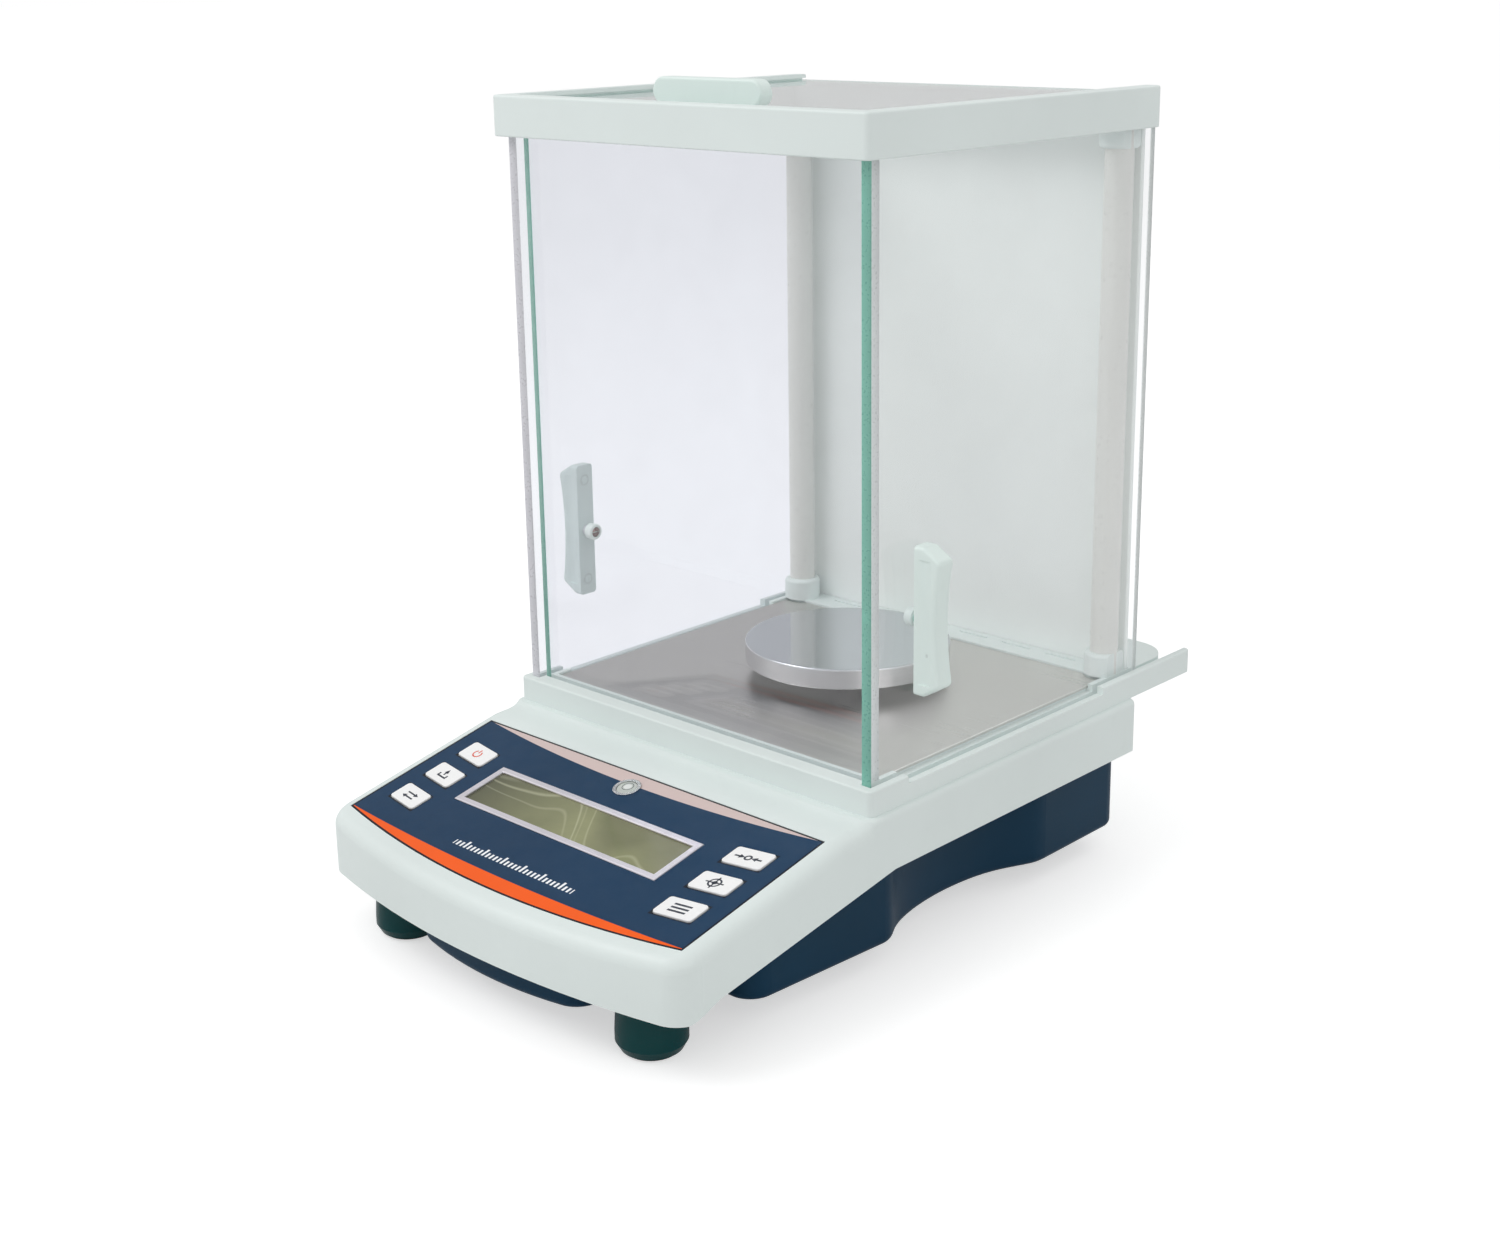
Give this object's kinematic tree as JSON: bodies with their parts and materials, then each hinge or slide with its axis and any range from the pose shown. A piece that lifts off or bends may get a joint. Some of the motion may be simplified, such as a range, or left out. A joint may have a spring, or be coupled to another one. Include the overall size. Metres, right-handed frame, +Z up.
{
  "type": "analytical balance",
  "caption": "Analytical balance with a sloping console and display, a round weighing pan and a glass draft shield with sliding side and top doors.",
  "frame": {"origin": "on the bench, at the middle of the whole footprint", "axes": "+Z up, +Y from the console to the back, +X to the user's right"},
  "size_m": [0.2266, 0.351, 0.3504],
  "materials": {
    "white_plastic": "fine moulded satin",
    "navy_plastic": "semi-gloss moulded",
    "foot_plastic": "dark teal moulded",
    "rubber": "matt",
    "label_film": "printed film",
    "display_bezel": "satin",
    "display_glass": "polished over an olive display",
    "display_body": "matt",
    "key_white": "printed keycap",
    "chrome_trim": "polished",
    "level_glass": "liquid filled",
    "float_glass": "polished, green edges",
    "panel_white": "satin paint",
    "column_white": "satin paint",
    "plate_steel": "brushed",
    "pan_steel": "polished",
    "zinc_steel": "zinc plated",
    "cell_aluminium": "cast and machined",
    "brass": "machined",
    "copper_coil": "wound enamelled wire",
    "board_green": "solder mask",
    "black_plastic": "moulded"
  },
  "bodies": {
    "root": {"upper_housing": "white_plastic", "lower_housing": "navy_plastic", "housing_screws": "zinc_steel", "control_label": "label_film", "lcd_frame": "display_bezel", "lcd_window": "display_glass", "lcd_module": "display_body", "display_board": "board_green", "tact_switches": "black_plastic", "level_cup": "chrome_trim", "level_vial": "level_glass", "main_board": "board_green", "power_socket": "black_plastic", "serial_port": "zinc_steel", "windshield_base": "white_plastic", "floor_plate": "plate_steel", "front_glass": "float_glass", "back_panel": "panel_white", "left_column": "column_white", "right_column": "column_white", "left_lower_collar": "white_plastic", "right_lower_collar": "white_plastic", "left_upper_collar": "white_plastic", "right_upper_collar": "white_plastic", "tie_rods": "zinc_steel", "tie_rod_nuts": "zinc_steel", "top_frame": "white_plastic", "sensor_frame": "cell_aluminium", "parallel_guides": "zinc_steel", "lever_shaft": "zinc_steel", "magnet_pot": "zinc_steel", "position_sensor": "black_plastic", "foot_inserts": "brass", "rear_feet": "rubber"},
    "left_door": {"left_door_glass": "float_glass", "left_door_handle": "white_plastic", "left_handle_screw": "white_plastic"},
    "right_door": {"right_door_glass": "float_glass", "right_door_handle": "white_plastic", "right_handle_screw": "white_plastic"},
    "top_door": {"top_door_glass": "float_glass", "top_door_handle": "white_plastic"},
    "receiver": {"load_receiver": "cell_aluminium", "pan_support": "cell_aluminium"},
    "pan": {"weighing_pan": "pan_steel"},
    "lever": {"force_lever": "cell_aluminium", "coil": "copper_coil"},
    "left_foot_screw": {"left_foot_stud": "zinc_steel", "left_foot_pad": "rubber"},
    "left_foot_turning": {"left_foot_knob": "foot_plastic"},
    "right_foot_screw": {"right_foot_stud": "zinc_steel", "right_foot_pad": "rubber"},
    "right_foot_turning": {"right_foot_knob": "foot_plastic"},
    "key_power_body": {"key_power": "key_white"},
    "key_print_body": {"key_print": "key_white"},
    "key_units_body": {"key_units": "key_white"},
    "key_tare_body": {"key_tare": "key_white"},
    "key_calibrate_body": {"key_calibrate": "key_white"},
    "key_mode_body": {"key_mode": "key_white"}
  },
  "joints": [
    {"name": "left_door_slide", "type": "slide", "parent": "root", "child": "left_door", "axis": [0, 1, 0], "range_m": [0, 0.125]},
    {"name": "right_door_slide", "type": "slide", "parent": "root", "child": "right_door", "axis": [0, 1, 0], "range_m": [0, 0.125]},
    {"name": "top_door_slide", "type": "slide", "parent": "root", "child": "top_door", "axis": [0, 1, 0], "range_m": [0, 0.12]},
    {"name": "receiver_travel", "type": "slide", "parent": "root", "child": "receiver", "axis": [0, 0, 1], "range_m": [-0.0005, 0], "stiffness_N_per_m": 10000, "springref_m": 0.0005},
    {"name": "pan_lift", "type": "slide", "parent": "receiver", "child": "pan", "axis": [0, 0, 1], "range_m": [0, 0.05]},
    {"name": "lever_pivot", "type": "hinge", "parent": "root", "child": "lever", "pos_m": [0, 0.024, 0.034], "axis": [1, 0, 0], "range_deg": [-2, 0.2]},
    {"name": "left_foot_lift", "type": "slide", "parent": "root", "child": "left_foot_screw", "axis": [0, 0, 1], "range_m": [-0.003, 0.003]},
    {"name": "left_foot_turn", "type": "hinge", "parent": "left_foot_screw", "child": "left_foot_turning", "pos_m": [-0.0741, -0.1473, 0], "axis": [0, 0, 1], "range_deg": [-1085, 1085]},
    {"name": "right_foot_lift", "type": "slide", "parent": "root", "child": "right_foot_screw", "axis": [0, 0, 1], "range_m": [-0.003, 0.003]},
    {"name": "right_foot_turn", "type": "hinge", "parent": "right_foot_screw", "child": "right_foot_turning", "pos_m": [0.0741, -0.1473, 0], "axis": [0, 0, 1], "range_deg": [-1085, 1085]},
    {"name": "key_power_press", "type": "slide", "parent": "root", "child": "key_power_body", "axis": [0, 0.2053, -0.9787], "range_m": [0, 0.0005], "stiffness_N_per_m": 2000, "springref_m": -0.0006},
    {"name": "key_print_press", "type": "slide", "parent": "root", "child": "key_print_body", "axis": [0, 0.2053, -0.9787], "range_m": [0, 0.0005], "stiffness_N_per_m": 2000, "springref_m": -0.0006},
    {"name": "key_units_press", "type": "slide", "parent": "root", "child": "key_units_body", "axis": [0, 0.2053, -0.9787], "range_m": [0, 0.0005], "stiffness_N_per_m": 2000, "springref_m": -0.0006},
    {"name": "key_tare_press", "type": "slide", "parent": "root", "child": "key_tare_body", "axis": [0, 0.2053, -0.9787], "range_m": [0, 0.0005], "stiffness_N_per_m": 2000, "springref_m": -0.0006},
    {"name": "key_calibrate_press", "type": "slide", "parent": "root", "child": "key_calibrate_body", "axis": [0, 0.2053, -0.9787], "range_m": [0, 0.0005], "stiffness_N_per_m": 2000, "springref_m": -0.0006},
    {"name": "key_mode_press", "type": "slide", "parent": "root", "child": "key_mode_body", "axis": [0, 0.2053, -0.9787], "range_m": [0, 0.0005], "stiffness_N_per_m": 2000, "springref_m": -0.0006}
  ],
  "couplings": [
    {"joint": "lever_pivot", "follows": "receiver_travel", "rad_per_m": 62},
    {"joint": "left_foot_turn", "follows": "left_foot_lift", "rad_per_m": 6283.2},
    {"joint": "right_foot_turn", "follows": "right_foot_lift", "rad_per_m": 6283.2}
  ]
}
